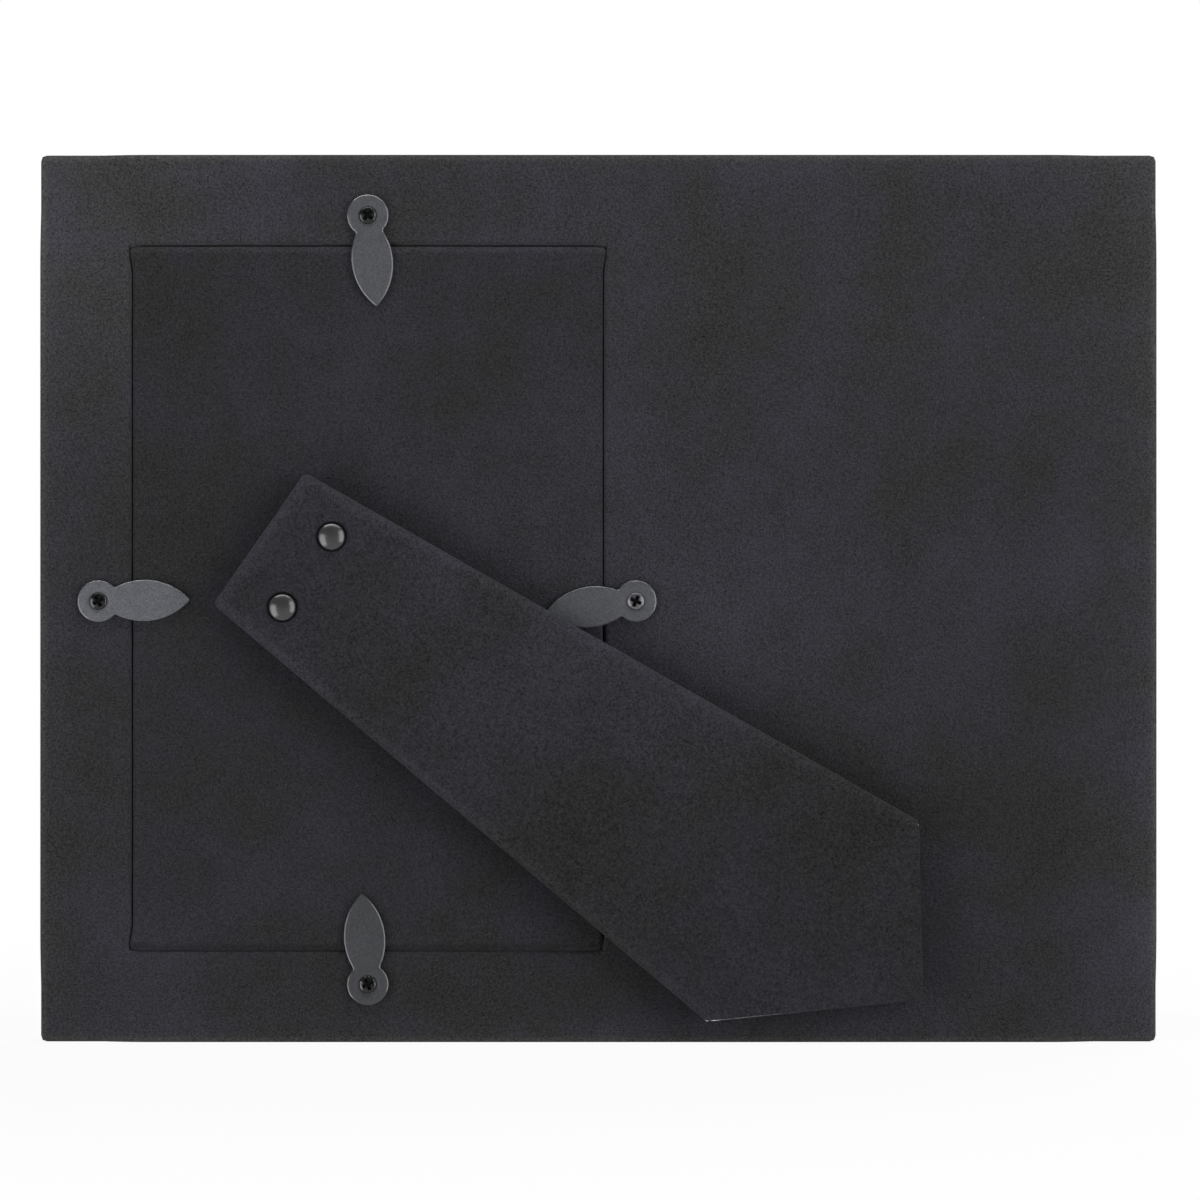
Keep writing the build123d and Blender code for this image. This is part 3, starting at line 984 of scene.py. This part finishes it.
def painted_rivet_ring(point):
    """The painted shade in a ring where a rivet's cap meets the pile, and the painted highlight just outside that.
    """
    past_cap = from_rivet(point) - rivet_radius
    ring = smooth_step(2 - past_cap / rivet_ring_width * 2)
    halo = smooth_step(2 - past_cap / rivet_halo_reach * 2)
    return rivet_halo_painted_light * halo * (1 - ring) - rivet_ring_painted_shade * ring


def mark_pale_cut(cloth, corner, way):
    """Marks where the cut at the leg's foot shows pale, from its lower corner along its lower edge."""
    pale = cloth.verts.layers.float.new("pale_cut")
    for point in cloth.verts:
        from_corner = (point.co.xy - corner).dot(way)
        past_edge = (point.co.xy - corner).cross(way)
        if past_edge > pale_from and from_corner > -leg_roll:
            spot = closeness(from_corner, pale_spot_length)
            line = pale_line_share * closeness(from_corner, pale_line_length)
            point[pale] = max(spot, line)


def leg_velour(material):
    """The velour of the leg, wrapped over its long edges and top end and cut off at its foot."""
    corners = leg_corners(leg_roll, leg_cut_roll - leg_overhang_cut)
    lower_top, upper_top, lower_foot, foot_point, upper_foot = corners
    length = foot_point.x - lower_top.x
    width = (upper_foot - lower_foot).length
    shares_along = [place / length for place in spaced(0, length)]
    point_at = leg_point_share * width
    shares_across = [place / width for place in spaced(0, width, (point_at,))]

    def place_of(along, across):
        """Where a share of the way along the leg and a share of the way across it meet."""
        if across < leg_point_share:
            foot = lower_foot.lerp(foot_point, across / leg_point_share)
        else:
            foot = foot_point.lerp(upper_foot, (across - leg_point_share) / (1 - leg_point_share))
        return lower_top.lerp(upper_top, across).lerp(foot, along)

    cloth = flat_cloth(shares_along, shares_across, place_of)
    edges = loose_edges(cloth)
    foot_line = (foot_point - lower_foot).normalized()
    side_line = (upper_foot - foot_point).normalized()

    def fold_of(place):
        """The roll and depth of the fold at a place of the edge: slight at the cut foot, else full."""
        low_gap = abs((place.xy - lower_foot).cross(foot_line))
        side_gap = abs((place.xy - foot_point).cross(side_line))
        from_corner = min((place.xy - corner).length for corner in (lower_foot, upper_foot))
        if min(low_gap, side_gap) < end_spacing and from_corner >= end_spacing / 2:
            return leg_cut_roll, leg_cut_depth
        return leg_roll, leg_depth

    refine_round_rivets(cloth)
    ease_corners(edges, leg_corner_passes, lambda place: fold_of(place)[0] == leg_cut_roll)
    wavy(edges, leg_place)
    soften(cloth, leg_place, rivet_dimples)

    def leg_sheen_at(place):
        """How strong the painted sheen along the edge is, from the leg's top down to its foot."""
        return leg_rim_sheen + (leg_foot_rim_sheen - leg_rim_sheen) * smooth_step(place.x / length)

    # Painted sheen along the leg's edges
    mark_rim_sheen(cloth, "tone_and_painted_light", (lower_foot, lower_top, upper_top, upper_foot), leg_rim_width, leg_sheen_at)
    # Painted shade in a ring at each rivet's cap and a painted highlight just outside it
    tone_and_painted_light = cloth.verts.layers.float["tone_and_painted_light"]
    for point in cloth.verts:
        point[tone_and_painted_light] += painted_rivet_ring(point.co)
    last = turn_over(cloth, edges, velour_thickness, fold_of)
    bmesh.ops.contextual_create(cloth, geom=last)
    mark_pale_cut(cloth, lower_foot, foot_line)
    piece = piece_of(cloth, "leg_velour", leg_place, material)
    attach(piece, "easel_leg")
    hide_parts("leg_velvet")


def front_leatherette(material):
    """The leatherette of the front: its face, its wrapped edges and the lining of the window."""
    window = frame["record"]["physics"]["openings"][0]["box_m"]
    setback = window_spare + window_roll
    low = Vector((-window[1][0] - setback, window[0][2] - setback))
    high = Vector((-window[0][0] + setback, window[1][2] + setback))
    cloth, window_edges, outer_edges = cloth_with_hole(leatherette_roll, low, high)
    ease_corners(outer_edges, outer_corner_passes)
    soften(cloth, front_place)
    depth = front_high.y - front_low.y
    thickness = leatherette_thickness
    lining = (window_roll, window_lining_depth)
    inner_loop = turn_over(cloth, window_edges, thickness, lambda place: lining)
    outer_loop = turn_over(cloth, outer_edges, thickness, lambda place: (leatherette_roll, depth))
    bmesh.ops.bridge_loops(cloth, edges=inner_loop + outer_loop)
    piece = piece_of(cloth, "front_leatherette", front_place, material)
    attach(piece, "frame")
    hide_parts("front_cover")


def deselect_all():
    """Leaves edit mode with nothing selected."""
    if bpy.context.object and bpy.context.object.mode != "OBJECT":
        bpy.ops.object.mode_set(mode="OBJECT")
    bpy.ops.object.select_all(action="DESELECT")


def select_only(piece):
    """Selects one piece for the next operator."""
    deselect_all()
    bpy.context.view_layer.objects.active = piece
    piece.select_set(True)


def new_piece(name):
    """The primitive that was just added, with its place taken into its mesh."""
    piece = bpy.context.object
    piece.name = name
    bpy.ops.object.transform_apply(location=True, rotation=True, scale=True)
    return piece


def cut_by(piece, other):
    """Cuts one piece by another, which is then dropped."""
    modifier = piece.modifiers.new("shape", "BOOLEAN")
    modifier.operation = "DIFFERENCE"
    modifier.solver = "EXACT"
    modifier.object = other
    select_only(piece)
    bpy.ops.object.modifier_apply(modifier="shape")
    bpy.data.objects.remove(other)


def finished(piece, material):
    """Smooths a piece but for its sharp edges, and gives it its finish."""
    select_only(piece)
    bpy.ops.object.shade_smooth_by_angle(angle=sharp_angle)
    piece.data.materials.clear()
    piece.data.materials.append(material)
    return piece


def seated(pattern, name, place):
    """A copy of a pattern with its own mesh, carried to its seat."""
    mesh = pattern.data.copy()
    mesh.name = name
    mesh.transform(place)
    return in_scene(name, mesh)


def pen_down(name, place):
    """Starts a drawn line as one point, ready for arcs and straights."""
    deselect_all()
    bpy.ops.mesh.primitive_plane_add(size=mm, location=place)
    piece = new_piece(name)
    bpy.ops.object.mode_set(mode="EDIT")
    bpy.ops.mesh.select_mode(type="VERT")
    bpy.ops.mesh.select_all(action="SELECT")
    bpy.ops.mesh.merge(type="CENTER")
    return piece


def draw_arc(centre, angle, steps, axis=(0, 0, 1)):
    """Carries the drawn line on round a centre; the spin operator counts its angle the other way."""
    bpy.ops.mesh.spin(steps=steps, angle=-angle, center=centre, axis=axis)


def draw_straight(step):
    """Carries the drawn line straight on."""
    bpy.ops.mesh.extrude_vertices_move(TRANSFORM_OT_translate={"value": step})


def close_up():
    """Merges what meets and turns every face outwards."""
    bpy.ops.mesh.select_all(action="SELECT")
    bpy.ops.mesh.remove_doubles(threshold=bench_merge)
    bpy.ops.mesh.normals_make_consistent(inside=False)


def turn_on_lathe(steps):
    """Turns the drawn profile round the upright axis."""
    bpy.ops.mesh.select_all(action="SELECT")
    bpy.ops.mesh.spin(steps=steps, angle=2 * pi, center=(0, 0, 0), axis=(0, 0, 1))
    close_up()
    bpy.ops.object.mode_set(mode="OBJECT")


def draw_cap(name, radius, height, crown_radius, shoulder_radius):
    """Draws the half profile of a low cap from its top to its side: a crown arc and a shoulder arc."""
    shoulder_x = radius - shoulder_radius
    reach = crown_radius - shoulder_radius
    sweep = atan2(shoulder_x, sqrt(reach**2 - shoulder_x**2))
    crown_z = height - crown_radius
    shoulder_z = crown_z + reach * cos(sweep)
    piece = pen_down(name, (0, 0, height))
    draw_arc((0, 0, crown_z), sweep, crown_steps, (0, 1, 0))
    draw_arc((shoulder_x, 0, shoulder_z), pi / 2 - sweep, shoulder_steps, (0, 1, 0))
    return piece, shoulder_z


def circles_meet(first, first_radius, second, second_radius):
    """Where two circles meet, left of the way from the first centre to the second."""
    way = second - first
    ahead = (first_radius**2 - second_radius**2 + way.length_squared) / (2 * way.length)
    aside = sqrt(first_radius**2 - ahead**2)
    way.normalize()
    return first + way * ahead + Vector((-way.y, way.x)) * aside


def turn_between(centre, start, end):
    """How far an arc turns from one point to another, counterclockwise."""
    first = start - centre
    second = end - centre
    return atan2(first.cross(second), first.dot(second))


def draw_button_outline():
    """Draws a button's outline: a leaf-shaped blade, a round tip, two hollow necks and a round head."""
    middle = button_reach / 2
    crown = button_blade_width / 2
    blade_radius = (middle**2 + crown**2) / (2 * crown)
    drop = blade_radius - crown
    head = Vector((0, 0))
    lower = Vector((middle, drop))
    upper = Vector((middle, -drop))
    tip = Vector((middle + sqrt((blade_radius - button_tip_round) ** 2 - drop**2), 0))
    head_to_neck = button_head_radius + button_neck_round
    neck = circles_meet(head, head_to_neck, upper, blade_radius + button_neck_round)
    blade_to_neck = upper + (neck - upper).normalized() * blade_radius
    neck_to_head = neck.normalized() * button_head_radius
    tip_to_blade = upper + (tip - upper).normalized() * blade_radius
    across = Vector((1, -1))
    neck_angle = turn_between(neck, blade_to_neck, neck_to_head)
    blade_angle = turn_between(upper, tip_to_blade, blade_to_neck)
    tip_angle = turn_between(tip, tip_to_blade * across, tip_to_blade)
    head_angle = turn_between(head, neck_to_head, neck_to_head * across) % (2 * pi)
    piece = pen_down("button", (*(blade_to_neck * across), 0))
    draw_arc((*lower, 0), blade_angle, button_blade_steps)
    draw_arc((*tip, 0), tip_angle, button_tip_steps)
    draw_arc((*upper, 0), blade_angle, button_blade_steps)
    draw_arc((*neck, 0), neck_angle, button_neck_steps)
    draw_arc((*head, 0), head_angle, button_head_steps)
    draw_arc((*(neck * across), 0), neck_angle, button_neck_steps)
    return piece


def button_pattern(material):
    """A button on the bench: its outline raised to a plate, with a stamped edge and a dished hole."""
    button = draw_button_outline()
    close_up()
    bpy.ops.mesh.edge_face_add()
    bpy.ops.mesh.flip_normals()
    rise = button_thickness - sum(drop for width, drop in button_edge)
    bpy.ops.mesh.extrude_region_move(TRANSFORM_OT_translate={"value": (0, 0, rise)})
    bpy.ops.mesh.select_mode(type="FACE")
    for width, drop in button_edge:
        bpy.ops.mesh.inset(thickness=width, depth=drop)
    close_up()
    bpy.ops.object.mode_set(mode="OBJECT")
    sphere_radius = (button_dish_radius**2 + button_dish_depth**2) / (2 * button_dish_depth)
    deselect_all()
    centre = (0, 0, button_thickness - button_dish_depth + sphere_radius)
    bpy.ops.mesh.primitive_uv_sphere_add(
        segments=button_dish_segments,
        ring_count=button_dish_rings,
        radius=sphere_radius,
        location=centre,
    )
    cut_by(button, new_piece("dish"))
    deselect_all()
    bpy.ops.mesh.primitive_cylinder_add(
        vertices=button_hole_steps,
        radius=button_hole_radius,
        depth=3 * button_thickness,
        location=(0, 0, button_thickness / 2),
    )
    cut_by(button, new_piece("hole"))
    finished(button, material)
    edge = button.data.attributes.new("edge", "FLOAT", "FACE")
    steep, flat = button_edge_slopes
    for face in button.data.polygons:
        edge.data[face.index].value = float(steep < face.normal.z < flat)
    return button


def cross_arm(turn):
    """One tapered arm of the cross that the screw is driven by, standing out of the head."""
    deselect_all()
    place = (0, 0, screw_head_height)
    bpy.ops.mesh.primitive_cube_add(size=2 * cross_depth, location=place, rotation=(0, 0, turn))
    bpy.context.object.scale = (cross_span / (2 * cross_depth), cross_width / (2 * cross_depth), 1)
    arm = new_piece("arm")
    bpy.ops.object.mode_set(mode="EDIT")
    bpy.ops.mesh.select_all(action="DESELECT")
    bpy.ops.object.mode_set(mode="OBJECT")
    for face in arm.data.polygons:
        face.select = face.normal.z < -upright_slope
    bpy.ops.object.mode_set(mode="EDIT")
    bpy.ops.transform.resize(value=(cross_taper, cross_taper, 1))
    bpy.ops.object.mode_set(mode="OBJECT")
    return arm


def screw_pattern(material, recess):
    """A pan-head screw with a cross recess, its head resting on the bench and its shank below."""
    screw, shoulder_z = draw_cap(
        "screw", screw_head_radius, screw_head_height, screw_crown_radius, screw_shoulder_radius
    )
    draw_straight((0, 0, -shoulder_z))
    draw_straight((screw_shank_radius - screw_head_radius, 0, 0))
    draw_straight((0, 0, -screw_shank_length))
    draw_straight((-screw_shank_radius, 0, 0))
    turn_on_lathe(screw_steps)
    for turn in (0, pi / 2):
        cut_by(screw, cross_arm(turn))
    finished(screw, material)
    screw.data.materials.append(recess)
    for face in screw.data.polygons:
        in_head = face.center.z > 0 and face.center.xy.length < cross_span / 2
        on_floor = face.center.z < screw_head_height - cross_floor_height
        on_wall = abs(face.normal.z) < upright_slope and face.normal.xy.dot(face.center.xy) <= 0
        face.material_index = int(in_head and (on_floor or on_wall))
    return screw


def rivet_pattern(material):
    """A rivet with a low round cap, its cap sunk a little into the bench and its tail below."""
    rivet, shoulder_z = draw_cap(
        "rivet", rivet_radius, rivet_height, rivet_crown_radius, rivet_shoulder_radius
    )
    draw_straight((0, 0, -shoulder_z - rivet_skirt))
    draw_straight((rivet_shank_radius - rivet_radius, 0, 0))
    draw_straight((0, 0, -rivet_length))
    draw_straight((rivet_tail_radius - rivet_shank_radius, 0, 0))
    draw_straight((0, 0, -rivet_tail_height))
    draw_straight((-rivet_tail_radius, 0, 0))
    turn_on_lathe(rivet_steps)
    return finished(rivet, material)


def turn_buttons():
    """The four turn buttons on their pivots, each with its screw."""
    steel = finish_of("blackened steel", screw_look)
    button = button_pattern(steel)
    screw = screw_pattern(steel, finish_of("recess black", recess_look))
    for side, angle in button_angles.items():
        pivot = Vector(joints[f"turn_button_{side}_pivot"]["pos_m"])
        along = Vector((cos(radians(angle)), 0, sin(radians(angle))))
        across = Vector((-along.z, 0, along.x))
        place = placing(pivot, along, across)
        blade = seated(button, f"button_{side}", place)
        # Each button's enamel is made lighter or darker to paint the light that falls on it
        blade.data.materials[0] = finish_of(f"charcoal enamel painted lit {side}", enamel_look(button_painted_light[side]))
        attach(blade, f"turn_button_{side}")
        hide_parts(f"turn_button_{side}")
        lifted = Matrix.Translation((0, 0, screw_head_low))
        turned = Matrix.Rotation(radians(screw_turns[side]), 4, "Z")
        pin = seated(screw, f"button_screw_{side}", place @ lifted @ turned)
        # The right screw's head gets pale steel, which paints the reflection of a bright light
        if side == "right":
            pin.data.materials[0] = finish_of("steel with painted reflection", painted_reflection_screw_look)
        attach(pin, "frame")
        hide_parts("turn_button_screws")
    bpy.data.objects.remove(button)
    bpy.data.objects.remove(screw)


def leg_rivets(lacquer):
    """The two rivets that hold the leg to its hinge."""
    rivet = rivet_pattern(lacquer)
    for name, seat in zip(("lower", "upper"), rivet_seats()):
        piece = seated(rivet, f"leg_rivet_{name}", leg_place @ Matrix.Translation(seat))
        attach(piece, "easel_leg")
        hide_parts("leg_rivets")
    bpy.data.objects.remove(rivet)


def dress_nodes(finishes):
    """Gives the solids that stay in view their finishes."""
    for node, material in finishes.items():
        mesh = frame["nodes"][node].data
        mesh.materials.clear()
        mesh.materials.append(material)


def floor_surface(nodes, place):
    """Pale paper that keeps a soft shadow round the frame and fades into the white surround."""
    faded = nodes.spread(nodes.length(place), floor_fade_start, floor_fade_end)
    white_share = floor_white + (1 - floor_white) * faded
    paper = nodes.add("ShaderNodeBsdfDiffuse", {}, {"Color": floor_tone})
    glow = nodes.add("ShaderNodeEmission", {}, {"Color": white, "Strength": 1.0})
    seen = ray_is(nodes, "Camera", "Glossy", "Transmission")
    return nodes.add("ShaderNodeMixShader", {}, {0: seen * white_share, 1: paper, 2: glow})


def white_floor():
    """The floor, which casts no shadow and shows in no reflection."""
    deselect_all()
    bpy.ops.mesh.primitive_plane_add(size=floor_size)
    floor = bpy.context.object
    floor.name = "floor"
    floor.visible_shadow = False
    floor.visible_glossy = False
    floor.data.materials.append(material_of("white floor", floor_surface))


def white_world():
    """White to the camera, a dim room over a pale floor in reflections, and a soft light otherwise."""
    world = bpy.data.worlds.new("studio")
    bpy.context.scene.world = world
    world.use_nodes = True
    nodes = Nodes(world.node_tree)
    towards = nodes.add("ShaderNodeTexCoord", {}, {}, "Generated")
    height = nodes.add("ShaderNodeSeparateXYZ", {}, {0: towards}, "Z")
    room = room_dark + (room_light - room_dark) * nodes.spread(height, room_dark_from, room_light_from)
    seen = ray_is(nodes, "Camera", "Transmission")
    mirrored = ray_is(nodes, "Glossy") * (1 - seen)
    level = seen + mirrored * room + (1 - seen - mirrored) * ambient_level
    light = nodes.add("ShaderNodeBackground", {}, {"Color": white, "Strength": level})
    nodes.add("ShaderNodeOutputWorld", {}, {"Surface": light})


def soft_box(name, place, width, height, radiance):
    """A soft rectangular lamp turned to the middle of the back."""
    target = Vector((0, back_low.y, cad_high.z / 2))
    lamp = bpy.data.lights.new(name, "AREA")
    lamp.shape = "RECTANGLE"
    lamp.size = width
    lamp.size_y = height
    lamp.energy = radiance * pi * width * height
    holder = in_scene(name, lamp)
    holder.location = place
    holder.rotation_euler = (target - Vector(place)).to_track_quat("-Z", "Y").to_euler()
    holder.visible_camera = False


def studio():
    """Soft light on the back from both sides and from above, and on the front."""
    white_floor()
    white_world()
    for name, (place, width, height, radiance) in lamps.items():
        soft_box(name, place, width, height, radiance)


def camera():
    """The camera, looking straight at the back."""
    lens = bpy.data.cameras.new("camera")
    lens.sensor_width = sensor_width
    lens.lens = sensor_width * view_distance / view_width
    holder = in_scene("camera", lens)
    middle = (cad_low + cad_high) / 2
    holder.location = (middle.x + view_right, back_low.y - view_distance, middle.z - view_drop)
    holder.rotation_euler = (pi / 2, 0, 0)
    bpy.context.scene.camera = holder


def main():
    """Sets up the studio, makes the pieces and gives the solids in view their finishes."""
    camera()
    studio()
    velour = finish_of("black velour", velour_look)
    # Near-black board, painting the shade at the bottom of the gaps round the door
    gap_shade_board = finish_of("board dark as gap shade", gap_shade_board_look)
    steel = finish_of("hinge steel", hinge_look)
    back_velour(velour)
    door_velour(velour)
    leg_velour(velour)
    front_leatherette(finish_of("black leatherette", leatherette_look))
    turn_buttons()
    leg_rivets(finish_of("black lacquer", rivet_look))
    dress_nodes(
        {
            "front_board": gap_shade_board,
            "back_board": gap_shade_board,
            "door_board": gap_shade_board,
            "leg_board": finish_of("fibreboard", fibreboard_look),
            "leg_lining": finish_of("lining paper", lining_look),
            "glass_pane": finish_of("picture glass", glass_look, lets_light_in=True),
            "photo_insert": finish_of("photo paper", photo_paper_look),
            "backing_card": finish_of("backing card", card_look),
            "hinge_door_leaf": steel,
            "hinge_leg_leaf": steel,
            "hinge_pin": steel,
            "hinge_rivets": steel,
        }
    )


main()
bpy.context.scene.view_settings.view_transform = "Standard"
